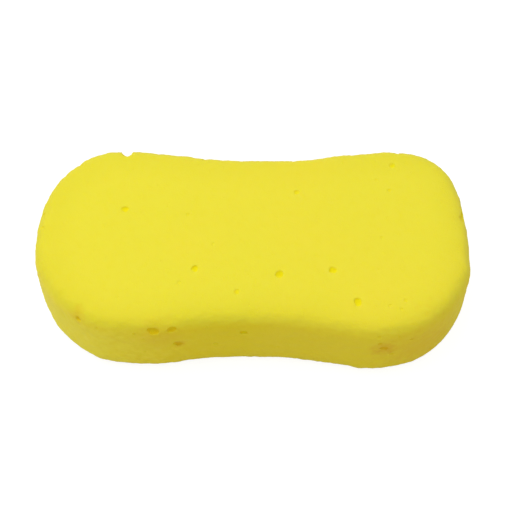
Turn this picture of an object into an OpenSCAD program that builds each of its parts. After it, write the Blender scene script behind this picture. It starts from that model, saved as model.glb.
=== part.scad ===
// Bone-shaped cleaning sponge: one block of foam with two lobes, a waist,
// rolled edges all round and open pores. Lengths are in millimetres.
// The block stands on z = 0, its length lies along x and its front faces -y.

/* [Block] */
// Length from end to end
length = 220; // [190:1:260]
// Thickness, from the underside to the top
thickness = 47; // [30:0.5:70]

/* [Lobes and waist] */
// Width across the left lobe
left_lobe_width = 108; // [102:0.5:125]
// Width across the right lobe
right_lobe_width = 110; // [102:0.5:125]
// How far each side is drawn in at the waist, from the narrower lobe
waist_depth = 5.75; // [2:0.25:12]

/* [Ends and corners] */
// Radius of the shallow arc that closes the left end
left_end_radius = 80; // [68:1:95]
// Radius of the shallow arc that closes the right end
right_end_radius = 100; // [75:1:120]
// Radius of the corner at the back of the left lobe
back_left_radius = 43; // [30:0.5:50]
// Radius of the corner at the back of the right lobe
back_right_radius = 34; // [28:0.5:50]
// Radius of the corner at the front of the left lobe
front_left_radius = 52; // [36:0.5:56]
// Radius of the corner at the front of the right lobe
front_right_radius = 48; // [36:0.5:54]

/* [Rolled edges] */
// Radius of the rolled edge round the top
top_edge_radius = 8; // [2:0.5:14]
// Radius of the rolled edge round the underside
bottom_edge_radius = 8; // [2:0.5:14]

/* [Open pores] */
// Width of a large pore at its mouth
large_pore = 4; // [2.5:0.1:5]
// Width of the smallest pore at its mouth
small_pore = 1.8; // [1:0.1:2.5]
// Depth of a pore as a share of its mouth
pore_depth = 0.45; // [0.3:0.05:0.7]
// Spacing of the scattered pores along the back wall and the ends
wall_pore_spacing = 15; // [10:1:40]
// Spacing of the scattered pores across the underside
base_pore_spacing = 9; // [6:1:30]

/* [Hidden] */
// Most that the outline turns, in degrees, or runs between two of its points
OUTLINE_TURN = 4.5;
OUTLINE_STEP = 8;
// Facets across a rolled edge, and round a pore
ROLL_STEPS = 6;
PORE_FN = 16;
FOAM_YELLOW = [0.93, 0.88, 0.24];
FOAM_SHADE = [0.78, 0.70, 0.12];
SCATTER_SEED = 41;

half_length = length / 2;
half_waist = min(left_lobe_width, right_lobe_width) / 2 - waist_depth;
right_end = [half_length - right_end_radius, 0];
left_end = [left_end_radius - half_length, 0];

// A corner is [centre, radius]. Its circle touches the end arc from inside and
// reaches out to half of the lobe's width, which is the most its radius can be.
function corner(side, face, end_radius, corner_radius, lobe_width) =
    let (
        radius = min(corner_radius, lobe_width / 2),
        y = lobe_width / 2 - radius,
        reach = sqrt(pow(end_radius - radius, 2) - y * y)
    )
    [[side * (half_length - end_radius + reach), face * y], radius];

back_right = corner(1, 1, right_end_radius, back_right_radius, right_lobe_width);
back_left = corner(-1, 1, left_end_radius, back_left_radius, left_lobe_width);
front_left = corner(-1, -1, left_end_radius, front_left_radius, left_lobe_width);
front_right = corner(1, -1, right_end_radius, front_right_radius, right_lobe_width);

// A waist is [centre, radius] too. Its circle touches the corners on its right
// and its left from outside, and comes within half of the waist's width of
// the length axis. Its x is the one that gives both corners the same radius.
function waist(right, left, face) =
    let (
        d1 = half_waist - face * right[0].y,
        d2 = half_waist - face * left[0].y,
        k1 = right[1] - d1,
        k2 = left[1] - d2,
        m1 = d1 * d1 - right[1] * right[1],
        m2 = d2 * d2 - left[1] * left[1],
        a = k2 - k1,
        b = 2 * (k2 * right[0].x - k1 * left[0].x),
        c = k2 * (pow(right[0].x, 2) + m1) - k1 * (pow(left[0].x, 2) + m2),
        x = 2 * c / (b + sqrt(b * b - 4 * a * c)),
        radius = (pow(x - right[0].x, 2) + m1) / (2 * k1)
    )
    [[x, face * (half_waist + radius)], radius];

back_waist = waist(back_right, back_left, 1);
front_waist = waist(front_right, front_left, -1);

function heading(from, to) = atan2(to.y - from.y, to.x - from.x);
function turn(from, to) = ((to - from) % 360 + 360) % 360;

// An arc is [centre, radius, first heading, sweep, bulge]. The bulge is 1 where
// the foam lies inside the circle, and -1 at a waist, where it lies outside.
function arc(circle, first, last, bulge) =
    [circle[0], circle[1], first, turn(first, last), bulge];

right_end_arc = arc([right_end, right_end_radius],
    heading(right_end, front_right[0]), heading(right_end, back_right[0]), 1);
back_right_arc = arc(back_right,
    heading(right_end, back_right[0]), heading(back_right[0], back_waist[0]), 1);
back_waist_arc = arc(back_waist,
    heading(back_waist[0], back_left[0]), heading(back_waist[0], back_right[0]), -1);
back_left_arc = arc(back_left,
    heading(back_left[0], back_waist[0]), heading(left_end, back_left[0]), 1);
left_end_arc = arc([left_end, left_end_radius],
    heading(left_end, back_left[0]), heading(left_end, front_left[0]), 1);
front_left_arc = arc(front_left,
    heading(left_end, front_left[0]), heading(front_left[0], front_waist[0]), 1);
front_waist_arc = arc(front_waist,
    heading(front_waist[0], front_right[0]), heading(front_waist[0], front_left[0]), -1);
front_right_arc = arc(front_right,
    heading(front_right[0], front_waist[0]), heading(right_end, front_right[0]), 1);

// The arcs in the order they are met, anticlockwise from the right end. A waist's
// headings are counted the other way round its centre.
OUTLINE = [
    right_end_arc, back_right_arc, back_waist_arc, back_left_arc,
    left_end_arc, front_left_arc, front_waist_arc, front_right_arc
];

// Steps along an arc, so that none turns too far or runs too long
function arc_steps(arc) =
    ceil(max(arc[3] / OUTLINE_TURN, arc[1] * arc[3] * PI / 180 / OUTLINE_STEP));

// The point of an arc at a share of its sweep, moved into the foam by an inset
function arc_point(arc, share, inset) =
    let (angle = arc[2] + arc[3] * (arc[4] > 0 ? share : 1 - share))
    arc[0] + (arc[1] - arc[4] * inset) * [cos(angle), sin(angle)];

// One ring of points round the block, at a height and an inset
function ring(inset, z) = [
    for (arc = OUTLINE)
        let (steps = arc_steps(arc))
            for (i = [0:1:steps - 1]) concat(arc_point(arc, i / steps, inset), z)
];

// Section of the edge as [inset, height], up from the underside to the top:
// a rolled edge, the upright wall and the other rolled edge
EDGE_SECTION = [
    for (i = [0:1:ROLL_STEPS])
        let (a = 90 * i / ROLL_STEPS) bottom_edge_radius * [1 - sin(a), 1 - cos(a)],
    for (i = [0:1:ROLL_STEPS])
        let (a = 90 * i / ROLL_STEPS)
            [0, thickness] + top_edge_radius * [1 - cos(a), sin(a) - 1]
];

// The block without its pores: rings of points joined by strips of triangles,
// with the flat underside and the flat top fanned out from their middles.
module plain_block() {
    levels = len(EDGE_SECTION);
    around = len(ring(0, 0));
    under_middle = levels * around;
    top_middle = under_middle + 1;
    polyhedron(
        points = [
            for (level = EDGE_SECTION) each ring(level[0], level[1]),
            [0, 0, 0],
            [0, 0, thickness]
        ],
        faces = [
            for (i = [0:1:around - 1])
                let (
                    next = (i + 1) % around,
                    top = (levels - 1) * around
                )
                    each [
                        [under_middle, i, next],
                        [top_middle, top + next, top + i]
                    ],
            for (level = [0:1:levels - 2], i = [0:1:around - 1])
                let (
                    low = level * around + i,
                    next = level * around + (i + 1) % around
                )
                    each [
                        [low, low + around, next + around],
                        [low, next + around, next]
                    ]
        ]
    );
}

// A pore is part of a bubble whose mouth lies in the skin. A long one is two
// bubbles run together, the second a stretch away in the skin's own plane.
// The skin is the plane z = 0, with the foam below it.
module pore(mouth, stretch = 0) {
    depth = pore_depth * mouth;
    radius = (mouth * mouth / 4 + depth * depth) / (2 * depth);
    for (shift = stretch > 0 ? [-stretch / 2, stretch / 2] : [0])
        translate([shift, 0, radius - depth]) sphere(radius, $fn = PORE_FN);
}

// Tilt of the skin at a height up the wall: 0 on the upright wall, rising to
// 90 where the rolled edge meets the top, and falling to -90 at the underside
function tilt(z) =
    z > thickness - top_edge_radius ?
        asin((z - thickness + top_edge_radius) / top_edge_radius) :
    z < bottom_edge_radius ? -asin((bottom_edge_radius - z) / bottom_edge_radius) : 0;

// Places its children on the wall under an arc, at a share of the arc's sweep
// and of the thickness, with their z axis pointing out of the foam.
module on_wall(arc, share, rise) {
    lean = tilt(rise * thickness);
    inset = (1 - cos(lean)) * (lean > 0 ? top_edge_radius : bottom_edge_radius);
    translate(arc[0]) rotate([0, 0, arc[2] + share * arc[3]])
        translate([arc[1] - arc[4] * inset, 0, rise * thickness])
            rotate([0, 0, arc[4] > 0 ? 0 : 180]) rotate([0, 90 - lean, 0]) children();
}

// Pores in the top, each [share of half the length, share of half the waist,
// share of a large pore's mouth, share of it that the pore is stretched,
// heading of the stretch]
TOP_PORES = [
    [-0.59, 0.30, 0.85, 0.2, 20],
    [-0.30, 0.24, 0.55, 0, 0],
    [-0.18, -0.12, 0.50, 0, 0],
    [-0.26, -0.41, 0.85, 0.15, 60],
    [-0.33, -0.58, 0.55, 0, 0],
    [-0.07, -0.68, 0.75, 0, 0],
    [0.12, -0.47, 0.95, 0.2, 30],
    [0.36, -0.42, 0.95, 0.1, 0],
    [0.47, -0.79, 0.90, 0.4, 100],
    [0.61, -0.83, 0.50, 0, 0],
    [0.68, -0.77, 0.55, 0.1, 0],
    [0.66, -0.87, 0.50, 0, 0],
    [0.20, 0.52, 0.70, 0.1, 10],
    [0.65, 0.87, 0.70, 0.2, 70],
    [0.57, 0.68, 0.50, 0, 0],
    [0.63, 0.55, 0.55, 0, 0],
    [0.59, -0.03, 0.50, 0, 0]
];

// Pores in the front wall and its rolled edge, each [arc, share of its sweep,
// share of the thickness, share of a large pore's mouth, share of it that the
// pore is stretched, heading of the stretch, with 0 pointing down]
FRONT_PORES = [
    [front_left_arc, 0.99, 0.88, 1.15, 0.7, 70],
    [front_waist_arc, 0.91, 0.88, 1.00, 0.3, 100],
    [front_waist_arc, 0.89, 0.57, 0.85, 0.5, 60],
    [front_left_arc, 0.87, 0.84, 0.60, 0, 0],
    [front_left_arc, 0.92, 0.74, 0.55, 0, 0],
    [front_left_arc, 0.92, 0.45, 0.50, 0, 0],
    [front_waist_arc, 0.70, 0.48, 0.65, 0.2, 40],
    [front_waist_arc, 0.74, 0.86, 0.50, 0, 0],
    [front_waist_arc, 0.56, 0.72, 0.95, 0.15, 90],
    [front_waist_arc, 0.39, 0.41, 0.50, 0, 0],
    [front_left_arc, 0.55, 0.87, 0.75, 0.3, 80],
    [front_left_arc, 0.67, 0.86, 0.55, 0, 0],
    [front_right_arc, 0.14, 0.86, 0.60, 0.1, 0],
    [front_right_arc, 0.15, 0.74, 0.60, 0, 0],
    [front_right_arc, 0.27, 0.83, 0.55, 0, 0],
    [front_right_arc, 0.35, 0.73, 0.50, 0, 0],
    [front_right_arc, 0.18, 0.62, 0.80, 0.8, 85],
    [front_right_arc, 0.24, 0.47, 0.60, 0.2, 60],
    [left_end_arc, 0.66, 0.97, 0.60, 0, 0],
    [right_end_arc, 0.13, 0.93, 0.55, 0.2, 90]
];

// Bites out of the rolled edge along the back and the right end, where a pore
// was cut through: the same values as for the front
EDGE_BITES = [
    [back_left_arc, 0.15, 0.91, 0.95, 0.2, 90],
    [back_left_arc, 0.65, 0.91, 0.60, 0, 0],
    [back_waist_arc, 0.65, 0.91, 0.60, 0.2, 90],
    [right_end_arc, 0.64, 0.91, 0.85, 0.4, 90]
];

module top_pores() {
    for (p = TOP_PORES)
        translate([p[0] * half_length, p[1] * half_waist, thickness])
            rotate([0, 0, p[4]]) pore(p[2] * large_pore, p[2] * large_pore * p[3]);
}

module wall_pores(list) {
    for (p = list)
        on_wall(p[0], p[1], p[2])
            rotate([0, 0, p[5]]) pore(p[3] * large_pore, p[3] * large_pore * p[4]);
}

// A scattered pore's mouth: most are small and a few are large
function scattered_mouth(draw) = small_pore + (large_pore - small_pore) * draw * draw;

// Pores scattered along an arc of the back or an end, clear of both edges
module scattered_wall_pores(arc, seed) {
    count = floor(arc[1] * arc[3] * PI / 180 / wall_pore_spacing);
    draws = rands(0, 1, 3 * count + 1, seed);
    for (i = [0:1:count - 1])
        on_wall(arc, (i + 0.2 + 0.6 * draws[3 * i]) / count, 0.15 + 0.7 * draws[3 * i + 1])
            pore(scattered_mouth(draws[3 * i + 2]));
}

// Pores scattered over the underside, one in each slice of its length, kept
// within the waist's width and off the middle, where the block is measured
module scattered_base_pores(seed) {
    reach = 0.84 * half_length;
    count = floor(2 * reach / base_pore_spacing);
    draws = rands(0, 1, 2 * count + 1, seed);
    for (i = [0:1:count - 1]) {
        side = i % 2 == 0 ? 1 : -1;
        translate([
            -reach + 2 * reach * (i + 0.5) / count,
            side * half_waist * (0.15 + 0.6 * draws[2 * i]),
            0
        ])
            rotate([180, 0, 0]) pore(scattered_mouth(draws[2 * i + 1]));
    }
}

module sponge_block() {
    difference() {
        color(FOAM_YELLOW) plain_block();
        color(FOAM_SHADE) {
            top_pores();
            wall_pores(FRONT_PORES);
            wall_pores(EDGE_BITES);
            scattered_wall_pores(right_end_arc, SCATTER_SEED);
            scattered_wall_pores(back_right_arc, SCATTER_SEED + 1);
            scattered_wall_pores(back_waist_arc, SCATTER_SEED + 2);
            scattered_wall_pores(back_left_arc, SCATTER_SEED + 3);
            scattered_wall_pores(left_end_arc, SCATTER_SEED + 4);
            scattered_base_pores(SCATTER_SEED + 5);
        }
    }
}

sponge_block();
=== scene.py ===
import math

import bmesh
import bpy
import numpy as np
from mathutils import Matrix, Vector
from mathutils.bvhtree import BVHTree


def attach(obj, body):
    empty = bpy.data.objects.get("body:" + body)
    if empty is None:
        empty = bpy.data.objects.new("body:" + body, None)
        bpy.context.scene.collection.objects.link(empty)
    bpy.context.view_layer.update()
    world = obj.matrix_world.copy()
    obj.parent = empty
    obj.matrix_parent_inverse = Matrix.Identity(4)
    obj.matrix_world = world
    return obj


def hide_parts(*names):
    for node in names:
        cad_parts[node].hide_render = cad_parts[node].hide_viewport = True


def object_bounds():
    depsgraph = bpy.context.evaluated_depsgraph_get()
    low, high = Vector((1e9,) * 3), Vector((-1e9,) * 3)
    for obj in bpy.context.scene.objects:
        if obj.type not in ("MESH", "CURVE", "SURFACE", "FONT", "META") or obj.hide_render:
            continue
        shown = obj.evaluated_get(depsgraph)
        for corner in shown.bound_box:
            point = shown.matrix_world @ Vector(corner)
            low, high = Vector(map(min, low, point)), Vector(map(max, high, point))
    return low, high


bl_info = {
    "name": "Bone-shaped cleaning sponge",
    "version": (1, 0, 0),
    "blender": (4, 5, 0),
    "location": "View3D > Sidebar > Sponge",
    "description": "Builds the foam block of a cleaning sponge, its open pores and a plain white stage",
    "category": "Object",
}

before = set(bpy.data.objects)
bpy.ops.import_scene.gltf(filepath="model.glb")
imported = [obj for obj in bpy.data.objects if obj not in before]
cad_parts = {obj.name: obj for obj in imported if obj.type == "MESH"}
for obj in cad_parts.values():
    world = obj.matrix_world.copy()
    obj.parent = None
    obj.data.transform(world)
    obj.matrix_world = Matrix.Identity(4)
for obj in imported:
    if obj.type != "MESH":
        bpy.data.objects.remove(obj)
cad_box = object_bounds()

MM = 0.001
NODE = "sponge_block"
BODY = "root"

# Attributes of a mark: the way out of the foam, its long axis, its half widths and its depth
OUT = "out"
ALONG = "along"
REACH = "reach"
# Attributes of the foam's points: how deep each lies, and how far from the walls
PIT = "pit"
INLAND = "inland"


class FoamSettings(bpy.types.PropertyGroup):
    """Sizes and colours of the foam block"""

    grid: bpy.props.FloatProperty(
        name="Skin grid",
        description="Spacing of the points that make the skin",
        default=1.4 * MM,
        min=0.8 * MM,
        unit="LENGTH",
    )
    softening: bpy.props.IntProperty(
        name="Softening",
        description="How many times the skin is smoothed, which softens the rolled edges",
        default=22,
        min=0,
    )
    face_unevenness: bpy.props.FloatProperty(
        name="Face unevenness",
        description="Height of the slight lumps on the flat faces",
        default=0.08 * MM,
        unit="LENGTH",
    )
    edge_unevenness: bpy.props.FloatProperty(
        name="Edge unevenness",
        description="Height of the lumps on the walls and the rolled edges",
        default=0.45 * MM,
        unit="LENGTH",
    )
    lump_size: bpy.props.FloatProperty(
        name="Lump size",
        description="Distance from one lump of the skin to the next",
        default=7 * MM,
        unit="LENGTH",
    )
    pore_depth: bpy.props.FloatProperty(
        name="Pore depth",
        description="Depth of a pore's bubble as a share of its narrower width",
        default=0.40,
        subtype="FACTOR",
    )
    pore_raggedness: bpy.props.FloatProperty(
        name="Pore raggedness",
        description="How far a pore's wall bulges in and out, as a share of its width",
        default=0.45,
        subtype="FACTOR",
    )
    small_pore_spacing: bpy.props.FloatProperty(
        name="Small pore spacing",
        description="Least distance between two of the small pores",
        default=13 * MM,
        unit="LENGTH",
    )
    small_pore_least: bpy.props.FloatProperty(
        name="Least small pore",
        description="Width of the narrowest small pore",
        default=0.6 * MM,
        unit="LENGTH",
    )
    small_pore_most: bpy.props.FloatProperty(
        name="Widest small pore",
        description="Width of the widest small pore",
        default=1.2 * MM,
        unit="LENGTH",
    )
    seed: bpy.props.IntProperty(
        name="Seed",
        description="Seed of the small pores' places and sizes",
        default=7,
    )
    cell_size: bpy.props.FloatProperty(
        name="Cell size",
        description="Width of one of the foam's finest cells",
        default=0.75 * MM,
        unit="LENGTH",
    )
    face_colour: bpy.props.FloatVectorProperty(
        name="Face colour",
        description="Yellow of the flat faces",
        default=(0.840, 0.750, 0.043),
        size=3,
        min=0,
        max=1,
        subtype="COLOR",
    )
    # Painted shade: the walls and rolled edges take a warmer, slightly darker yellow than the level
    # faces, standing in for how they are less lit
    shaded_side_colour: bpy.props.FloatVectorProperty(
        name="Side colour",
        description="Warmer yellow of the walls and the rolled edges",
        default=(0.865, 0.680, 0.005),
        size=3,
        min=0,
        max=1,
        subtype="COLOR",
    )
    cloud_colour: bpy.props.FloatVectorProperty(
        name="Cloud colour",
        description="Warmer yellow that comes and goes over the whole block",
        default=(0.900, 0.730, 0.047),
        size=3,
        min=0,
        max=1,
        subtype="COLOR",
    )
    # Painted shade: a deeper yellow inside the pores, standing in for the shade and bounced light in a
    # hollow
    pore_shade_colour: bpy.props.FloatVectorProperty(
        name="Pore colour",
        description="Deep yellow inside the pores",
        default=(0.870, 0.770, 0.003),
        size=3,
        min=0,
        max=1,
        subtype="COLOR",
    )
    stain_colour: bpy.props.FloatVectorProperty(
        name="Stain colour",
        description="Dull brown of the rubbed patches along the front",
        default=(0.780, 0.460, 0.010),
        size=3,
        min=0,
        max=1,
        subtype="COLOR",
    )


class StageSettings(bpy.types.PropertyGroup):
    """Floor, light and camera"""

    floor_size: bpy.props.FloatProperty(
        name="Floor size",
        description="Length of the floor's sides",
        default=6.0,
        unit="LENGTH",
    )
    sky_level: bpy.props.FloatProperty(
        name="Sky level",
        description="Strength of the even light from all round",
        default=0.65,
    )
    lamp_level: bpy.props.FloatProperty(
        name="Lamp level",
        description="Light that the soft lamp overhead lays on a level face",
        default=0.360,
    )
    azimuth: bpy.props.FloatProperty(
        name="Camera azimuth",
        description="Turn of the camera round the sponge, from straight in front",
        default=math.radians(0.37),
        subtype="ANGLE",
    )
    elevation: bpy.props.FloatProperty(
        name="Camera elevation",
        description="Height of the camera above the horizon",
        default=math.radians(60),
        subtype="ANGLE",
    )
    distance: bpy.props.FloatProperty(
        name="Camera distance",
        description="Distance from the camera to the middle of the sponge",
        default=0.7,
        unit="LENGTH",
    )
    lens: bpy.props.FloatProperty(
        name="Lens",
        description="Focal length in millimetres over a sensor 36 mm wide",
        default=95.3,
    )
    aside: bpy.props.FloatProperty(
        name="Aim aside",
        description="How far right of the sponge's middle the camera looks",
        default=1.49 * MM,
        unit="LENGTH",
    )
    above: bpy.props.FloatProperty(
        name="Aim above",
        description="How far above the sponge's middle the camera looks, in the picture",
        default=0.98 * MM,
        unit="LENGTH",
    )


def node(tree, kind, inputs=None, **settings):
    """Adds a node, sets its properties, and fills its inputs with values or links."""
    made = tree.nodes.new(kind)
    for name, value in settings.items():
        setattr(made, name, value)
    for key, value in (inputs or {}).items():
        if isinstance(value, bpy.types.NodeSocket):
            tree.links.new(value, made.inputs[key])
        else:
            made.inputs[key].default_value = value
    return made


def math_node(tree, operation, *values, clamp=False):
    """The output of a Math node with these values or links."""
    made = node(
        tree, "ShaderNodeMath", dict(enumerate(values)), operation=operation, use_clamp=clamp
    )
    return made.outputs[0]


def vector_math(tree, operation, *values, output=0):
    """An output of a Vector Math node with these values or links."""
    made = node(
        tree, "ShaderNodeVectorMath", dict(enumerate(values)), operation=operation
    )
    return made.outputs[output]


def scaled(tree, vector, scale):
    """A vector times a number."""
    made = node(tree, "ShaderNodeVectorMath", {0: vector, "Scale": scale}, operation="SCALE")
    return made.outputs[0]


def levelness(tree, normal):
    """How level a face lies: 1 where it lies flat, and 0 where it stands upright."""
    rise = node(tree, "ShaderNodeSeparateXYZ", {0: normal}).outputs["Z"]
    return math_node(tree, "ABSOLUTE", rise)


def ramp(tree, value, low, high, to_low=0.0, to_high=1.0):
    """A value mapped smoothly from one span to another."""
    made = node(
        tree,
        "ShaderNodeMapRange",
        {
            "Value": value,
            "From Min": low,
            "From Max": high,
            "To Min": to_low,
            "To Max": to_high,
        },
        interpolation_type="SMOOTHSTEP",
    )
    return made.outputs[0]


def tree_with(name, kind, inputs, outputs):
    """A node tree with named sockets, each a name and its type."""
    tree = bpy.data.node_groups.new(name, kind)
    for side, sockets in (("INPUT", inputs), ("OUTPUT", outputs)):
        for socket_name, socket_type in sockets.items():
            tree.interface.new_socket(name=socket_name, in_out=side, socket_type=socket_type)
    return tree


def set_inputs(modifier, values):
    """Sets a modifier's inputs by their sockets' identifiers."""
    for item in modifier.node_group.interface.items_tree:
        if item.item_type == "SOCKET" and item.in_out == "INPUT" and item.name in values:
            modifier[item.identifier] = values[item.name]


def named(tree, name, kind):
    """A named attribute, read in a geometry tree."""
    made = node(tree, "GeometryNodeInputNamedAttribute", {"Name": name}, data_type=kind)
    return made.outputs[0]


# A noise runs from 0 to 1 about this middle
NOISE_MIDDLE = 0.5


def noise(tree, place, scale, detail=2.0, output=0):
    """A noise texture's output, at a place and a scale in cycles per metre."""
    made = node(
        tree,
        "ShaderNodeTexNoise",
        {"Vector": place, "Scale": scale, "Detail": detail},
        noise_dimensions="3D",
    )
    return made.outputs[output]


def in_triangles(tree, mesh):
    """The mesh with every face split into triangles."""
    return node(tree, "GeometryNodeTriangulate", {"Mesh": mesh}).outputs[0]


def put_out(tree, geometry, material):
    """Ends a geometry tree: instances made real, and the material set."""
    real = node(tree, "GeometryNodeRealizeInstances", {"Geometry": geometry})
    painted = node(
        tree, "GeometryNodeSetMaterial", {"Geometry": real.outputs[0], "Material": material}
    )
    node(tree, "NodeGroupOutput", {0: painted.outputs[0]})


# The CAD block's skin, and where its pores lie


# Corners of the CAD block nearer than this are one
MERGE_REACH = 1e-7
# The skin ends where it turns by more than this, at the mouth of a pore
MOUTH_ANGLE = math.radians(28)


def skin_faces(mesh):
    """The faces reached from the largest one without crossing a sharp edge."""
    start = max(mesh.faces, key=lambda face: face.calc_area())
    reached = {start}
    waiting = [start]
    while waiting:
        face = waiting.pop()
        for edge in face.edges:
            if len(edge.link_faces) != 2 or edge.calc_face_angle() > MOUTH_ANGLE:
                continue
            for other in edge.link_faces:
                if other not in reached:
                    reached.add(other)
                    waiting.append(other)
    return reached


def groups_of(faces):
    """The faces in connected groups."""
    left = set(faces)
    groups = []
    while left:
        waiting = [left.pop()]
        group = []
        while waiting:
            face = waiting.pop()
            group.append(face)
            for edge in face.edges:
                for other in edge.link_faces:
                    if other in left:
                        left.remove(other)
                        waiting.append(other)
        groups.append(group)
    return groups


def rim_of(group, skin):
    """The edges where a pore's faces meet the skin."""
    return [
        edge
        for face in group
        for edge in face.edges
        if any(other in skin for other in edge.link_faces)
    ]


def pore_mark(rim, skin):
    """A pore's middle, the way out of the foam, its long axis, and its two half widths."""
    out = Vector()
    for edge in rim:
        for face in edge.link_faces:
            if face in skin:
                out += face.normal * edge.calc_length()
    out.normalize()
    places = {corner.index: corner.co for edge in rim for corner in edge.verts}
    points = np.array([places[i] for i in sorted(places)])
    middle = (points.min(0) + points.max(0)) / 2
    away = points - middle
    level = away - np.outer(away @ np.array(out), out)
    _, spread, axes = np.linalg.svd(level, full_matrices=False)
    # Points spaced evenly on an ellipse have this spread along each of its axes
    half_widths = spread[:2] * math.sqrt(2 / len(points))
    return Vector(middle), out, Vector(axes[0]), half_widths[0], half_widths[1]


def close_mouth(mesh, rim, middle):
    """Closes a pore's mouth with a fan of triangles about its middle."""
    centre = mesh.verts.new(middle)
    for edge in rim:
        mesh.faces.new((*edge.verts, centre))


# Where the knife strayed from the outline: [heading in plan from the right end,
# half of the stretch that it strayed over, both in degrees, and how far out of
# the foam in millimetres]
TRIMS = (
    (6, 9, -0.9),
    (22, 7, 0.8),
    (30, 5, 0.6),
    (35, 5, -1.5),
    (49, 8, 1.6),
    (60, 7, -0.5),
    (118, 8, 0.5),
    (127, 7, 1.6),
    (134, 5, 0.8),
    (141, 4, -0.5),
    (149, 7, 0.9),
    (187, 6, 0.8),
    (207, 8, -0.6),
    (221, 10, -2.2),
    (232, 7, 0.5),
    (306, 6, 0.7),
    (322, 8, -0.9),
    (350, 5, 0.6),
    (358, 7, -0.7),
)
# How fast a trim fades from the outline towards the middle of the block
TRIM_FADE = 3


def trim_outline(mesh):
    """Moves the outline in or out where the knife strayed."""
    points = np.array([corner.co for corner in mesh.verts])
    around = np.arctan2(points[:, 1], points[:, 0])
    away = np.hypot(points[:, 0], points[:, 1])
    low, high = points[:, 2].min(), points[:, 2].max()
    upright = np.abs(points[:, 2] - (low + high) / 2) < (high - low) / 4
    order = np.argsort(around[upright])
    reach = np.interp(
        around, around[upright][order], away[upright][order], period=2 * math.pi
    )
    shift = np.zeros(len(points))
    for heading, half_span, out in TRIMS:
        off = np.degrees(around) - heading
        share = np.clip(1 - np.abs((off + 180) % 360 - 180) / half_span, 0, 1)
        shift += out * MM * share * share * (3 - 2 * share)
    shift *= np.clip(away / reach, 0, 1) ** TRIM_FADE
    for corner, angle, move in zip(mesh.verts, around, shift):
        corner.co += Vector((math.cos(angle), math.sin(angle), 0)) * move


# A break in the skin whose narrower half width is under this is no pore
LEAST_PORE = 0.3 * MM


def read_cad_block():
    """The CAD block's skin with its pores closed, and a mark for each pore."""
    mesh = bmesh.new()
    mesh.from_mesh(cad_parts[NODE].data)
    bmesh.ops.remove_doubles(mesh, verts=mesh.verts, dist=MERGE_REACH)
    trim_outline(mesh)
    mesh.normal_update()
    mesh.verts.index_update()
    skin = skin_faces(mesh)
    groups = groups_of([face for face in mesh.faces if face not in skin])
    rims = [rim_of(group, skin) for group in groups]
    marks = [pore_mark(rim, skin) for rim in rims]
    bmesh.ops.delete(
        mesh, geom=[face for group in groups for face in group], context="FACES_ONLY"
    )
    for rim, mark in zip(rims, marks):
        close_mouth(mesh, rim, mark[0])
    loose = [edge for edge in mesh.edges if not edge.link_faces]
    bmesh.ops.delete(mesh, geom=loose, context="EDGES")
    bmesh.ops.recalc_face_normals(mesh, faces=mesh.faces)
    marks = [mark for mark in marks if mark[4] > LEAST_PORE]
    marks.sort(key=lambda mark: tuple(round(value / MM, 1) for value in mark[0]))
    return mesh, marks


def link(name, data):
    """A new object with this mesh, in the scene."""
    made = bpy.data.objects.new(name, data)
    bpy.context.scene.collection.objects.link(made)
    return made


# Nicks in the upper rolled edge: [heading in plan, width and depth in millimetres]
NICKS = (
    (6, 5.0, 0.8),
    (35, 2.6, 0.6),
    (66, 2.4, 0.5),
    (98, 2.0, 0.4),
    (118, 2.4, 0.6),
    (141.8, 5.6, 3.0),
    (154, 2.4, 0.9),
    (159, 2.0, 0.7),
    (163, 2.4, 0.7),
    (173, 2.2, 0.6),
)
# How far below the top a nick has its middle, and half its length as a share of its width
NICK_BELOW_TOP = 3.5 * MM
NICK_STRETCH = 1.3


def nick_marks(skin):
    """Marks for the nicks: where each lies, its frame, its half widths and its depth."""
    high = cad_box[1]
    outside = high.x + high.y
    level = high.z - NICK_BELOW_TOP
    surface = BVHTree.FromBMesh(skin)
    marks = []
    for heading, width, depth in NICKS:
        angle = math.radians(heading)
        away = Vector((math.cos(angle), math.sin(angle), 0))
        start = away * outside + Vector((0, 0, level))
        place, out = surface.ray_cast(start, -away)[:2]
        over = (Vector((0, 0, 1)) - out * out.z).normalized()
        sizes = (width * NICK_STRETCH, width / 2, depth)
        marks.append((place, out, over, *(size * MM for size in sizes)))
    return marks


# A pore of this half width is as deep as its share says, and a smaller one is shallower
FULL_PORE = 2.5 * MM


def pore_depth(half_width, share):
    """Depth of a pore's bubble."""
    return 2 * share * half_width * min(1, half_width / FULL_PORE)


def marks_object(name, marks):
    """An object with a point for each pore or nick, its frame and its size."""
    data = bpy.data.meshes.new(name)
    data.from_pydata([mark[0] for mark in marks], [], [])
    values = {
        OUT: [tuple(mark[1]) for mark in marks],
        ALONG: [tuple(mark[2]) for mark in marks],
        REACH: [mark[3:] for mark in marks],
    }
    for attribute_name, vectors in values.items():
        attribute = data.attributes.new(attribute_name, "FLOAT_VECTOR", "POINT")
        attribute.data.foreach_set("vector", np.array(vectors, np.float32).ravel())
    return link(name, data)


# Geometry trees


# How level the skin lies where it starts to be a flat face, and where it is one in full
FLAT_SPAN = (0.9, 0.995)
# The finer lumps: how many there are to a coarse one, and their share of its height
FINER_LUMPS = 3.1
FINER_SHARE = 0.8
# Lowest place of the skin: only its height, the floor's, is near the block
LOWEST = (-1.0, -1.0, 0.0)


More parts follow.
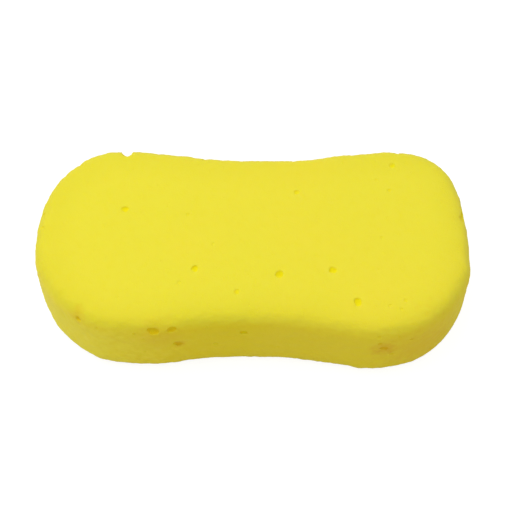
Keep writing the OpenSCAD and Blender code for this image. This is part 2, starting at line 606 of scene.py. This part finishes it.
def uneven_skin_tree():
    """Raises slight lumps on the skin, less on the flat faces, and keeps it on the floor."""
    tree = tree_with(
        "uneven_skin",
        "GeometryNodeTree",
        {
            "Geometry": "NodeSocketGeometry",
            "Face unevenness": "NodeSocketFloat",
            "Edge unevenness": "NodeSocketFloat",
            "Lump size": "NodeSocketFloat",
            "Foam": "NodeSocketMaterial",
        },
        {"Geometry": "NodeSocketGeometry"},
    )
    given = node(tree, "NodeGroupInput").outputs
    place = node(tree, "GeometryNodeInputPosition").outputs[0]
    normal = node(tree, "GeometryNodeInputNormal").outputs[0]
    flatness = ramp(tree, levelness(tree, normal), *FLAT_SPAN)
    height = node(
        tree,
        "ShaderNodeMix",
        {0: flatness, 2: given["Edge unevenness"], 3: given["Face unevenness"]},
        data_type="FLOAT",
    ).outputs[0]
    lumps_per_metre = math_node(tree, "DIVIDE", 1.0, given["Lump size"])
    coarse = noise(tree, place, lumps_per_metre, detail=1.0)
    finer = math_node(tree, "MULTIPLY", lumps_per_metre, FINER_LUMPS)
    fine = noise(tree, place, finer, detail=1.0)
    lumps = math_node(tree, "ADD", coarse, math_node(tree, "MULTIPLY", fine, FINER_SHARE))
    level = math_node(tree, "SUBTRACT", lumps, NOISE_MIDDLE * (1 + FINER_SHARE))
    push = math_node(
        tree, "MULTIPLY", math_node(tree, "MULTIPLY", level, height), 1 / NOISE_MIDDLE
    )
    raised = node(
        tree,
        "GeometryNodeSetPosition",
        {"Geometry": given["Geometry"], "Offset": scaled(tree, normal, push)},
    )
    rested = node(
        tree,
        "GeometryNodeSetPosition",
        {
            "Geometry": raised.outputs[0],
            "Position": vector_math(tree, "MAXIMUM", place, LOWEST),
        },
    )
    put_out(tree, rested.outputs[0], given["Foam"])
    return tree


# Share of a bubble's depth that its middle lies under the skin
BUBBLE_SINK = 0.12
# How finely the bubble of a known pore is divided, and that of a small one
KNOWN_FINENESS = 4
SMALL_FINENESS = 2


def bubble(tree, fineness):
    """A ball of radius 1 whose middle lies a little way under the skin."""
    ball = node(tree, "GeometryNodeMeshIcoSphere", {"Radius": 1.0, "Subdivisions": fineness})
    sunk = node(
        tree,
        "GeometryNodeTransform",
        {"Geometry": ball.outputs[0], "Translation": (0.0, 0.0, -BUBBLE_SINK)},
    )
    return sunk.outputs[0]


def random_value(tree, low, high, seed):
    """A random number for each point."""
    made = node(
        tree,
        "FunctionNodeRandomValue",
        {2: low, 3: high, "Seed": seed},
        data_type="FLOAT",
    )
    return made.outputs[1]


def bubbles_at(tree, marks):
    """A bubble at each mark, in its frame and of its size."""
    rotation = node(
        tree,
        "FunctionNodeAxesToRotation",
        {0: named(tree, OUT, "FLOAT_VECTOR"), 1: named(tree, ALONG, "FLOAT_VECTOR")},
        primary_axis="Z",
        secondary_axis="X",
    )
    placed = node(
        tree,
        "GeometryNodeInstanceOnPoints",
        {
            "Points": marks,
            "Instance": bubble(tree, KNOWN_FINENESS),
            "Rotation": rotation.outputs[0],
            "Scale": named(tree, REACH, "FLOAT_VECTOR"),
        },
    )
    return placed.outputs[0]


# Most small pores on a square metre, before their spacing thins them
MOST_PORES = 40000.0
# A small pore keeps this far from a known one, in small pore spacings
KEEP_OFF = 0.5
# The higher this is, the more of the small pores are near the least width
SMALL_BIAS = 2.0
# A small pore is at most this many times as long as it is wide
LONGEST = 1.6


def small_pores(tree, given, skin, marks):
    """Bubbles scattered over the skin, clear of the known ones, most of them small."""
    seed = given["Seed"]
    scattered = node(
        tree,
        "GeometryNodeDistributePointsOnFaces",
        {
            "Mesh": skin,
            "Distance Min": given["Small pore spacing"],
            "Density Max": MOST_PORES,
            "Seed": seed,
        },
        distribute_method="POISSON",
    )
    nearest = node(
        tree, "GeometryNodeProximity", {"Geometry": marks}, target_element="POINTS"
    )
    clear_by = math_node(tree, "MULTIPLY", given["Small pore spacing"], KEEP_OFF)
    too_near = math_node(tree, "LESS_THAN", nearest.outputs["Distance"], clear_by)
    kept = node(
        tree,
        "GeometryNodeDeleteGeometry",
        {"Geometry": scattered.outputs["Points"], "Selection": too_near},
        domain="POINT",
    )
    draw = random_value(tree, 0.0, 1.0, seed)
    mostly_small = math_node(tree, "POWER", draw, SMALL_BIAS)
    span = math_node(tree, "SUBTRACT", given["Widest small pore"], given["Least small pore"])
    width = math_node(tree, "MULTIPLY_ADD", mostly_small, span, given["Least small pore"])
    half = math_node(tree, "MULTIPLY", width, 0.5)
    longer = random_value(tree, 1.0, LONGEST, math_node(tree, "ADD", seed, 1.0))
    reach = node(
        tree,
        "ShaderNodeCombineXYZ",
        {
            "X": math_node(tree, "MULTIPLY", half, longer),
            "Y": half,
            "Z": math_node(tree, "MULTIPLY", width, given["Pore depth"]),
        },
    ).outputs[0]
    stored = node(
        tree,
        "GeometryNodeStoreNamedAttribute",
        {"Geometry": kept.outputs[0], "Name": REACH, "Value": reach},
        data_type="FLOAT_VECTOR",
        domain="POINT",
    )
    spin = node(
        tree,
        "FunctionNodeAxisAngleToRotation",
        {
            "Axis": (0.0, 0.0, 1.0),
            "Angle": random_value(tree, 0.0, 2 * math.pi, math_node(tree, "ADD", seed, 2.0)),
        },
    )
    turned = node(
        tree,
        "FunctionNodeRotateRotation",
        {"Rotation": scattered.outputs["Rotation"], "Rotate By": spin.outputs[0]},
        rotation_space="LOCAL",
    )
    placed = node(
        tree,
        "GeometryNodeInstanceOnPoints",
        {
            "Points": stored.outputs[0],
            "Instance": bubble(tree, SMALL_FINENESS),
            "Rotation": turned.outputs[0],
            "Scale": named(tree, REACH, "FLOAT_VECTOR"),
        },
    )
    return placed.outputs[0]


# Bulges of a pore's wall, in cycles per metre
BULGES_PER_METRE = 620.0


def ragged(tree, bubbles, raggedness):
    """The bubbles as one mesh, each with its wall bulged in and out its own way."""
    realized = node(tree, "GeometryNodeRealizeInstances", {"Geometry": bubbles})
    place = node(tree, "GeometryNodeInputPosition").outputs[0]
    normal = node(tree, "GeometryNodeInputNormal").outputs[0]
    narrow = node(
        tree, "ShaderNodeSeparateXYZ", {0: named(tree, REACH, "FLOAT_VECTOR")}
    ).outputs["Y"]
    level = math_node(
        tree, "SUBTRACT", noise(tree, place, BULGES_PER_METRE), NOISE_MIDDLE
    )
    most = math_node(
        tree, "MULTIPLY", math_node(tree, "MULTIPLY", narrow, raggedness), 1 / NOISE_MIDDLE
    )
    push = math_node(tree, "MULTIPLY", level, most)
    moved = node(
        tree,
        "GeometryNodeSetPosition",
        {"Geometry": realized.outputs[0], "Offset": scaled(tree, normal, push)},
    )
    return moved.outputs[0]


def marks_on_skin(tree, holder, skin):
    """The marks that an object holds, moved to the nearest point of the skin."""
    marks = node(tree, "GeometryNodeObjectInfo", {"Object": holder}).outputs["Geometry"]
    nearest = node(tree, "GeometryNodeProximity", {"Geometry": skin}, target_element="FACES")
    moved = node(
        tree,
        "GeometryNodeSetPosition",
        {"Geometry": marks, "Position": nearest.outputs["Position"]},
    )
    return moved.outputs[0]


# A loose crumb has fewer points than this
CRUMB_POINTS = 1000


def without_crumbs(tree, foam):
    """The foam without the crumbs that the cut left loose in a pore."""
    island = node(tree, "GeometryNodeInputMeshIsland").outputs["Island Index"]
    points = node(
        tree,
        "GeometryNodeAccumulateField",
        {"Value": 1, "Group ID": island},
        data_type="INT",
        domain="POINT",
    ).outputs["Total"]
    kept = node(
        tree,
        "GeometryNodeDeleteGeometry",
        {"Geometry": foam, "Selection": math_node(tree, "LESS_THAN", points, CRUMB_POINTS)},
        domain="POINT",
    )
    return kept.outputs[0]


def distance_to(tree, faces):
    """How far a point lies from these faces."""
    made = node(tree, "GeometryNodeProximity", {"Geometry": faces}, target_element="FACES")
    return made.outputs["Distance"]


# Points this near to a bubble's wall are worn round, this many times
WORN_REACH = 0.9 * MM
WORN_ROUNDS = 5


def worn_round(tree, foam, cutters):
    """Rounds the lips of the pores."""
    place = node(tree, "GeometryNodeInputPosition").outputs[0]
    rounded = node(
        tree,
        "GeometryNodeBlurAttribute",
        {"Value": place, "Iterations": WORN_ROUNDS},
        data_type="FLOAT_VECTOR",
    ).outputs["Value"]
    moved = node(
        tree,
        "GeometryNodeSetPosition",
        {
            "Geometry": foam,
            "Selection": math_node(
                tree, "LESS_THAN", distance_to(tree, cutters), WORN_REACH
            ),
            "Position": rounded,
        },
    )
    return moved.outputs[0]


def noted(tree, foam, name, value):
    """The foam with a number stored at each of its points."""
    made = node(
        tree,
        "GeometryNodeStoreNamedAttribute",
        {"Geometry": foam, "Name": name, "Value": value},
        data_type="FLOAT",
        domain="POINT",
    )
    return made.outputs[0]


# A face more level than this is no wall
LYING = 0.6


def walls_of(tree, skin):
    """The faces of the skin that stand upright, or nearly."""
    normal = node(tree, "GeometryNodeInputNormal").outputs[0]
    lying = math_node(tree, "GREATER_THAN", levelness(tree, normal), LYING)
    made = node(
        tree,
        "GeometryNodeDeleteGeometry",
        {"Geometry": skin, "Selection": lying},
        domain="FACE",
    )
    return made.outputs[0]


# An edge of the foam that turns by more than this is shaded as an edge
CREASE = math.radians(60)


def open_pores_tree():
    """Cuts the known and the small pores into the skin and notes how deep each point lies."""
    tree = tree_with(
        "open_pores",
        "GeometryNodeTree",
        {
            "Geometry": "NodeSocketGeometry",
            "Pores": "NodeSocketObject",
            "Nicks": "NodeSocketObject",
            "Pore depth": "NodeSocketFloat",
            "Pore raggedness": "NodeSocketFloat",
            "Small pore spacing": "NodeSocketFloat",
            "Least small pore": "NodeSocketFloat",
            "Widest small pore": "NodeSocketFloat",
            "Seed": "NodeSocketInt",
            "Foam": "NodeSocketMaterial",
        },
        {"Geometry": "NodeSocketGeometry"},
    )
    given = node(tree, "NodeGroupInput").outputs
    skin = given["Geometry"]
    pores = marks_on_skin(tree, given["Pores"], skin)
    nicks = marks_on_skin(tree, given["Nicks"], skin)
    cut = node(
        tree,
        "GeometryNodeMeshBoolean",
        {"Mesh 1": in_triangles(tree, skin)},
        operation="DIFFERENCE",
        solver="MANIFOLD",
    )
    cutters = node(tree, "GeometryNodeJoinGeometry")
    # Bubbles of one kind never meet, but a nick may run into a pore, so each kind is cut apart
    for bubbles in (
        small_pores(tree, given, skin, pores),
        bubbles_at(tree, pores),
        bubbles_at(tree, nicks),
    ):
        cutter = ragged(tree, bubbles, given["Pore raggedness"])
        tree.links.new(cutter, cut.inputs["Mesh 2"])
        tree.links.new(cutter, cutters.inputs[0])
    whole = without_crumbs(tree, in_triangles(tree, cut.outputs[0]))
    worn = worn_round(tree, whole, cutters.outputs[0])
    deep = noted(tree, worn, PIT, distance_to(tree, skin))
    known = noted(tree, deep, INLAND, distance_to(tree, walls_of(tree, skin)))
    smooth = node(
        tree,
        "GeometryNodeSetShadeSmooth",
        {"Geometry": known, "Shade Smooth": True},
        domain="FACE",
    )
    bend = node(tree, "GeometryNodeInputMeshEdgeAngle").outputs["Unsigned Angle"]
    creased = node(
        tree,
        "GeometryNodeSetShadeSmooth",
        {
            "Geometry": smooth.outputs[0],
            "Selection": math_node(tree, "GREATER_THAN", bend, CREASE),
            "Shade Smooth": False,
        },
        domain="EDGE",
    )
    put_out(tree, creased.outputs[0], given["Foam"])
    return tree


# Shader groups and the foam's material


# How often a cell's wall wanders along its width, and how far, both in cells
WANDERS = 0.6
WANDER_REACH = 0.9
# How far from a cell's middle its hollow starts to rise, and where it ends, in cells
HOLLOW_SPAN = (0.1, 0.75)
# Stretches of open cells: how many to a cell, and the noise where they start and are full
STRETCHES = 0.22
STRETCH_SPAN = (0.4, 0.65)
# Grit on the cells: how many grains to a cell, and its height as a share of a hollow's depth
GRAINS = 1.7
GRIT_HEIGHT = 0.5


def cell_grain_group():
    """Fine open cells: a height for the bump and a mask of the cells' hollows."""
    tree = tree_with(
        "cell_grain",
        "ShaderNodeTree",
        {"Place": "NodeSocketVector", "Cell size": "NodeSocketFloat"},
        {"Height": "NodeSocketFloat", "Hollow": "NodeSocketFloat"},
    )
    given = node(tree, "NodeGroupInput").outputs
    per_metre = math_node(tree, "DIVIDE", 1.0, given["Cell size"])
    wanders = math_node(tree, "MULTIPLY", per_metre, WANDERS)
    wander = noise(tree, given["Place"], wanders, output=1)
    away = vector_math(tree, "SUBTRACT", wander, (NOISE_MIDDLE,) * 3)
    farthest = math_node(tree, "MULTIPLY", given["Cell size"], WANDER_REACH)
    place = vector_math(tree, "ADD", given["Place"], scaled(tree, away, farthest))
    cells = node(
        tree,
        "ShaderNodeTexVoronoi",
        {"Vector": place, "Scale": per_metre, "Randomness": 1.0},
        feature="F1",
    ).outputs["Distance"]
    round_cells = ramp(tree, cells, *HOLLOW_SPAN)
    broad = noise(tree, given["Place"], math_node(tree, "MULTIPLY", per_metre, STRETCHES))
    open_here = ramp(tree, broad, *STRETCH_SPAN)
    hollow = math_node(tree, "MULTIPLY", math_node(tree, "SUBTRACT", 1.0, round_cells), open_here)
    grains = math_node(tree, "MULTIPLY", per_metre, GRAINS)
    grit = noise(tree, given["Place"], grains, detail=3.0)
    height = math_node(tree, "SUBTRACT", math_node(tree, "MULTIPLY", grit, GRIT_HEIGHT), hollow)
    node(tree, "NodeGroupOutput", {"Height": height, "Hollow": hollow})
    return tree


# Breaks in a patch: cycles per metre, and how much they eat away, in radii
BREAKS_PER_METRE = 260.0
BREAK_REACH = 0.9
# Where a patch starts to fade, and where it is gone, in radii with the breaks added
PATCH_FADES = 0.6
PATCH_ENDS = 1.4


def patch_group():
    """A soft-edged, broken patch round a point."""
    tree = tree_with(
        "soft_patch",
        "ShaderNodeTree",
        {
            "Place": "NodeSocketVector",
            "Middle": "NodeSocketVector",
            "Radius": "NodeSocketFloat",
            "Strength": "NodeSocketFloat",
        },
        {"Mask": "NodeSocketFloat"},
    )
    given = node(tree, "NodeGroupInput").outputs
    away = vector_math(tree, "DISTANCE", given["Place"], given["Middle"], output=1)
    share = math_node(tree, "DIVIDE", away, given["Radius"])
    broken = noise(tree, given["Place"], BREAKS_PER_METRE, detail=3.0)
    edge = math_node(tree, "ADD", share, math_node(tree, "MULTIPLY", broken, BREAK_REACH))
    left = ramp(tree, edge, PATCH_FADES, PATCH_ENDS, 1.0, 0.0)
    mask = math_node(tree, "MULTIPLY", left, given["Strength"])
    node(tree, "NodeGroupOutput", {"Mask": mask})
    return tree


def mixed(tree, share, first, second, blend="MIX"):
    """Two colours mixed by a share."""
    made = node(
        tree, "ShaderNodeMix", {0: share, 6: first, 7: second}, data_type="RGBA", blend_type=blend
    )
    return made.outputs[2]


def rgba(colour):
    """A colour with full alpha."""
    return (*colour, 1.0)


def grey(level):
    """A grey with full alpha, white at level 1."""
    return (level, level, level, 1.0)


def stored_number(tree, name):
    """A number stored at the foam's points, read in a material."""
    made = node(tree, "ShaderNodeAttribute", attribute_name=name, attribute_type="GEOMETRY")
    return made.outputs["Fac"]


# Rubbed patches along the front: [middle in millimetres, radius, strength]
RUBBED = (
    ((65.0, -53.0, 29.0), 10.0, 0.65),
    ((-84.5, -42.0, 41.0), 7.0, 0.40),
    ((-36.7, -49.5, 26.5), 5.0, 0.60),
    ((-45.0, -51.0, 36.0), 16.0, 0.25),
    ((83.0, -45.0, 22.0), 30.0, 0.40),
)

# Painted light: paler stretch of the left wall, where more light falls from the left: [middle in
# millimetres, radius, strength], and its colour
PAINTED_LIGHT_PATCH = (((-96.0, -34.0, 18.0), 78.0, 0.95),)
PAINTED_LIGHT_COLOUR = (0.985, 0.825, 0.045, 1.0)

# Painted shade: a deeper yellow inside the pores of the walls, and how far inland it gives way to the
# faces' own
WALL_PORE_SHADE = (0.860, 0.700, 0.002, 1.0)
WALL_PORE_END = 10 * MM

# Painted shade: how the flat faces darken towards their edges, and from how far in
EDGE_SHADE = (0.92, 0.92, 0.78, 1.0)
EDGE_SHADE_REACH = 22 * MM

# How level the foam lies where it has the flat faces' colour in full, without the walls' painted shade
FACE_LEVEL = 0.75

# Clouds of a warmer yellow: cycles per metre, the noise where they start and are full, strength
CLOUDS_PER_METRE = 14.0
CLOUD_SPAN = (0.35, 0.7)
CLOUD_STRENGTH = 0.35

# Painted shade: share of the pores' deeper yellow in the cells' hollows
HOLLOW_SHADE = 0.25

# How deep the foam lies where it starts to take the pores' painted shade, and where it has it in full
PIT_SPAN = (0.05 * MM, 0.9 * MM)

# Heights of the cells' grain, and the roughness at each
GRAIN_SPAN = (-0.6, 0.6)
GRAIN_ROUGHNESS = (1.0, 0.82)

# How strongly the grain shows as relief, and how high it is
RELIEF_STRENGTH = 0.35
RELIEF_HEIGHT = 0.25 * MM

# The foam's finish, the same all over
FINISH = {
    "Specular IOR Level": 0.06,
    "Subsurface Weight": 0.3,
    "Subsurface Radius": (1.0, 0.8, 0.1),
    "Subsurface Scale": 3 * MM,
    "Sheen Weight": 0.11,
    "Sheen Roughness": 0.6,
    "Sheen Tint": (1.0, 0.97, 0.80, 1.0),
}


def patched(tree, place, colour, patches, group, paint):
    """The colour with soft patches of another one."""
    for middle, radius, strength in patches:
        patch = node(
            tree,
            "ShaderNodeGroup",
            {
                "Place": place,
                "Middle": [value * MM for value in middle],
                "Radius": radius * MM,
                "Strength": strength,
            },
            node_tree=group,
        )
        colour = mixed(tree, patch.outputs["Mask"], colour, paint)
    return colour


def foam_material(settings):
    """Open-cell foam: pale faces with painted shade towards their edges, walls and pores in a deeper
    yellow of painted shade, a paler left wall of painted light, and fine cells.
    """
    material = bpy.data.materials.new("yellow_foam")
    material.use_nodes = True
    tree = material.node_tree
    shader = tree.nodes["Principled BSDF"]
    place = node(tree, "ShaderNodeTexCoord").outputs["Object"]
    normal = node(tree, "ShaderNodeNewGeometry").outputs["Normal"]
    inland = stored_number(tree, INLAND)
    patches = patch_group()
    pore_shade_colour = rgba(settings.pore_shade_colour)

    # Painted shade: the walls and rolled edges take the side colour, the level faces their own
    flatness = ramp(tree, levelness(tree, normal), 0.0, FACE_LEVEL)
    # Painted light: the left wall paler, where more light falls on it from the left
    walls = patched(tree, place, rgba(settings.shaded_side_colour), PAINTED_LIGHT_PATCH, patches, PAINTED_LIGHT_COLOUR)
    skin = mixed(tree, flatness, walls, rgba(settings.face_colour))
    # Painted shade: the flat faces darken towards their edges
    rim = ramp(tree, inland, -EDGE_SHADE_REACH, EDGE_SHADE_REACH, 2.0, 0.0)
    shade = math_node(tree, "MULTIPLY", rim, flatness)
    skin = mixed(tree, shade, skin, EDGE_SHADE, blend="MULTIPLY")
    clouds = ramp(tree, noise(tree, place, CLOUDS_PER_METRE), *CLOUD_SPAN)
    cloudy = math_node(tree, "MULTIPLY", clouds, CLOUD_STRENGTH)
    skin = mixed(tree, cloudy, skin, rgba(settings.cloud_colour))

    grain = node(
        tree,
        "ShaderNodeGroup",
        {"Place": place, "Cell size": settings.cell_size},
        node_tree=cell_grain_group(),
    ).outputs
    # Painted shade: the cells' hollows take some of the pores' deeper yellow
    hollow = math_node(tree, "MULTIPLY", grain["Hollow"], HOLLOW_SHADE)
    skin = mixed(tree, hollow, skin, pore_shade_colour)

    # Painted shade: the pores take a deeper yellow as they go deeper
    inside = ramp(tree, stored_number(tree, PIT), *PIT_SPAN)
    on_face = ramp(tree, inland, 0.0, WALL_PORE_END)
    colour = mixed(tree, inside, skin, mixed(tree, on_face, WALL_PORE_SHADE, pore_shade_colour))
    colour = patched(tree, place, colour, RUBBED, patches, rgba(settings.stain_colour))
    tree.links.new(colour, shader.inputs["Base Color"])

    rough = ramp(tree, grain["Height"], *GRAIN_SPAN, *GRAIN_ROUGHNESS)
    tree.links.new(rough, shader.inputs["Roughness"])
    relief = node(
        tree,
        "ShaderNodeBump",
        {"Height": grain["Height"], "Strength": RELIEF_STRENGTH, "Distance": RELIEF_HEIGHT},
    )
    tree.links.new(relief.outputs["Normal"], shader.inputs["Normal"])
    for socket_name, value in FINISH.items():
        shader.inputs[socket_name].default_value = value
    return material


# Pieces


def add_modifier(target, name, kind, **values):
    """A modifier with these properties."""
    made = target.modifiers.new(name, kind)
    for key, value in values.items():
        setattr(made, key, value)
    return made


def baked_mesh(target, name):
    """The object's mesh as its modifiers leave it, with no modifier."""
    depsgraph = bpy.context.evaluated_depsgraph_get()
    depsgraph.update()
    data = bpy.data.meshes.new_from_object(
        target.evaluated_get(depsgraph), preserve_all_data_layers=True, depsgraph=depsgraph
    )
    data.name = name
    return data


class SPONGE_OT_foam_block(bpy.types.Operator):
    """Makes the foam block over the CAD block, with uneven skin and open pores"""

    bl_idname = "sponge.foam_block"
    bl_label = "Foam block"

    def execute(self, context):
        settings = context.scene.sponge_foam
        skin, pores = read_cad_block()
        pores = [(*pore, pore_depth(pore[4], settings.pore_depth)) for pore in pores]
        holders = {
            "Pores": marks_object("pore_marks", pores),
            "Nicks": marks_object("nick_marks", nick_marks(skin)),
        }
        data = bpy.data.meshes.new("foam_block")
        skin.to_mesh(data)
        skin.free()
        block = link("foam_block", data)
        foam = foam_material(settings)

        add_modifier(
            block, "skin", "REMESH", mode="VOXEL", voxel_size=settings.grid, use_smooth_shade=True
        )
        add_modifier(block, "soften", "SMOOTH", factor=0.5, iterations=settings.softening)
        uneven = add_modifier(block, "uneven", "NODES", node_group=uneven_skin_tree())
        set_inputs(
            uneven,
            {
                "Face unevenness": settings.face_unevenness,
                "Edge unevenness": settings.edge_unevenness,
                "Lump size": settings.lump_size,
                "Foam": foam,
            },
        )
        opened = add_modifier(block, "pores", "NODES", node_group=open_pores_tree())
        set_inputs(
            opened,
            {
                **holders,
                "Pore depth": settings.pore_depth,
                "Pore raggedness": settings.pore_raggedness,
                "Small pore spacing": settings.small_pore_spacing,
                "Least small pore": settings.small_pore_least,
                "Widest small pore": settings.small_pore_most,
                "Seed": settings.seed,
                "Foam": foam,
            },
        )
        finished = baked_mesh(block, "foam_block")
        block.modifiers.clear()
        block.data = finished
        bpy.data.meshes.remove(data)
        for holder in holders.values():
            bpy.data.objects.remove(holder)

        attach(block, BODY)
        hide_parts(NODE)
        return {"FINISHED"}


# The floor as the camera sees it: how far it glows by itself, and how much light it reflects
FLOOR_GLOW = 0.87
FLOOR_SEEN = 0.27
# How much light it reflects onto the foam
FLOOR_WHITE = 0.65
# Hair's breadth that keeps the floor clear of the underside
FLOOR_GAP = 0.05 * MM


def seen_directly(tree):
    """1 for a ray from the camera, or one mirrored or let through on its way."""
    path = node(tree, "ShaderNodeLightPath").outputs
    seen = math_node(tree, "ADD", path["Is Camera Ray"], path["Is Glossy Ray"])
    return math_node(tree, "ADD", seen, path["Is Transmission Ray"], clamp=True)


def floor_material():
    """White floor that shows only the darkest of the contact shadow."""
    material = bpy.data.materials.new("white_floor")
    material.use_nodes = True
    tree = material.node_tree
    tree.nodes.clear()
    lit = node(tree, "ShaderNodeBsdfDiffuse", {"Color": grey(FLOOR_WHITE)})
    seen = node(tree, "ShaderNodeBsdfDiffuse", {"Color": grey(FLOOR_SEEN)})
    glow = node(tree, "ShaderNodeEmission", {"Color": grey(1.0), "Strength": FLOOR_GLOW})
    shown = node(tree, "ShaderNodeAddShader", {0: seen.outputs[0], 1: glow.outputs[0]})
    either = node(
        tree,
        "ShaderNodeMixShader",
        {0: seen_directly(tree), 1: lit.outputs[0], 2: shown.outputs[0]},
    )
    node(tree, "ShaderNodeOutputMaterial", {"Surface": either.outputs[0]})
    return material


def white_world(sky_level):
    """Even light from all round, white where it is looked at."""
    world = bpy.data.worlds.new("white_world")
    world.use_nodes = True
    tree = world.node_tree
    tree.nodes.clear()
    sky = node(tree, "ShaderNodeBackground", {"Color": grey(1.0), "Strength": sky_level})
    white = node(tree, "ShaderNodeBackground", {"Color": grey(1.0), "Strength": 1.0})
    either = node(
        tree,
        "ShaderNodeMixShader",
        {0: seen_directly(tree), 1: sky.outputs[0], 2: white.outputs[0]},
    )
    node(tree, "ShaderNodeOutputWorld", {"Surface": either.outputs[0]})
    return world


# Where the soft lamp hangs, and its width
LAMP_PLACE = Vector((-0.52, 0.28, 1.5))
LAMP_WIDTH = 1.2

# Width of the camera's sensor in millimetres
SENSOR_WIDTH = 36.0


def add_lamp(level, target):
    """A wide soft lamp that lays the given light on a level face at the target."""
    away = LAMP_PLACE - target
    data = bpy.data.lights.new("soft_lamp", "AREA")
    data.shape = "DISK"
    data.size = LAMP_WIDTH
    tilt = away.z / away.length
    spread = away.length_squared + LAMP_WIDTH**2 / 4
    data.energy = level * math.pi * math.pi * spread / tilt
    lamp = link("soft_lamp", data)
    lamp.location = LAMP_PLACE
    lamp.rotation_mode = "QUATERNION"
    lamp.rotation_quaternion = away.to_track_quat("Z", "Y")
    return lamp


def add_camera(settings, middle):
    """The camera at the photograph's angle."""
    data = bpy.data.cameras.new("camera")
    data.sensor_width = SENSOR_WIDTH
    data.lens = settings.lens
    turn, rise = settings.azimuth, settings.elevation
    back = Vector(
        (math.sin(turn) * math.cos(rise), -math.cos(turn) * math.cos(rise), math.sin(rise))
    )
    right = Vector((math.cos(turn), math.sin(turn), 0.0))
    up = back.cross(right)
    camera = link("camera", data)
    aim = middle + right * settings.aside + up * settings.above
    camera.location = aim + back * settings.distance
    camera.rotation_mode = "QUATERNION"
    camera.rotation_quaternion = (-back).to_track_quat("-Z", "Y")
    bpy.context.scene.camera = camera


class SPONGE_OT_stage(bpy.types.Operator):
    """Makes the white floor, the soft light and the camera"""

    bl_idname = "sponge.stage"
    bl_label = "Stage"

    def execute(self, context):
        settings = context.scene.sponge_stage
        low, high = cad_box
        middle = (low + high) / 2
        half = settings.floor_size / 2
        data = bpy.data.meshes.new("floor")
        corners = ((-half, -half), (half, -half), (half, half), (-half, half))
        data.from_pydata([(x, y, -FLOOR_GAP) for x, y in corners], [], [(0, 1, 2, 3)])
        data.materials.append(floor_material())
        floor = link("floor", data)
        context.scene.world = white_world(settings.sky_level)
        add_lamp(settings.lamp_level, middle)
        add_camera(settings, middle)
        context.scene.view_settings.view_transform = "Standard"
        return {"FINISHED"}


class SPONGE_PT_build(bpy.types.Panel):
    """Buttons and sizes for the sponge"""

    bl_idname = "SPONGE_PT_build"
    bl_label = "Cleaning sponge"
    bl_space_type = "VIEW_3D"
    bl_region_type = "UI"
    bl_category = "Sponge"

    def draw(self, context):
        for title, settings, operator in (
            ("Foam", context.scene.sponge_foam, SPONGE_OT_foam_block),
            ("Stage", context.scene.sponge_stage, SPONGE_OT_stage),
        ):
            box = self.layout.box()
            box.label(text=title)
            for name in type(settings).__annotations__:
                box.prop(settings, name)
            box.operator(operator.bl_idname)


CLASSES = (FoamSettings, StageSettings, SPONGE_OT_foam_block, SPONGE_OT_stage, SPONGE_PT_build)


def register():
    """Adds the classes and the scene's settings."""
    for cls in CLASSES:
        bpy.utils.register_class(cls)
    bpy.types.Scene.sponge_foam = bpy.props.PointerProperty(type=FoamSettings)
    bpy.types.Scene.sponge_stage = bpy.props.PointerProperty(type=StageSettings)


def unregister():
    """Takes the classes and the scene's settings away."""
    del bpy.types.Scene.sponge_stage
    del bpy.types.Scene.sponge_foam
    for cls in reversed(CLASSES):
        bpy.utils.unregister_class(cls)


def main():
    """Builds the sponge and its stage."""
    register()
    bpy.ops.sponge.foam_block()
    bpy.ops.sponge.stage()


if __name__ == "__main__":
    main()
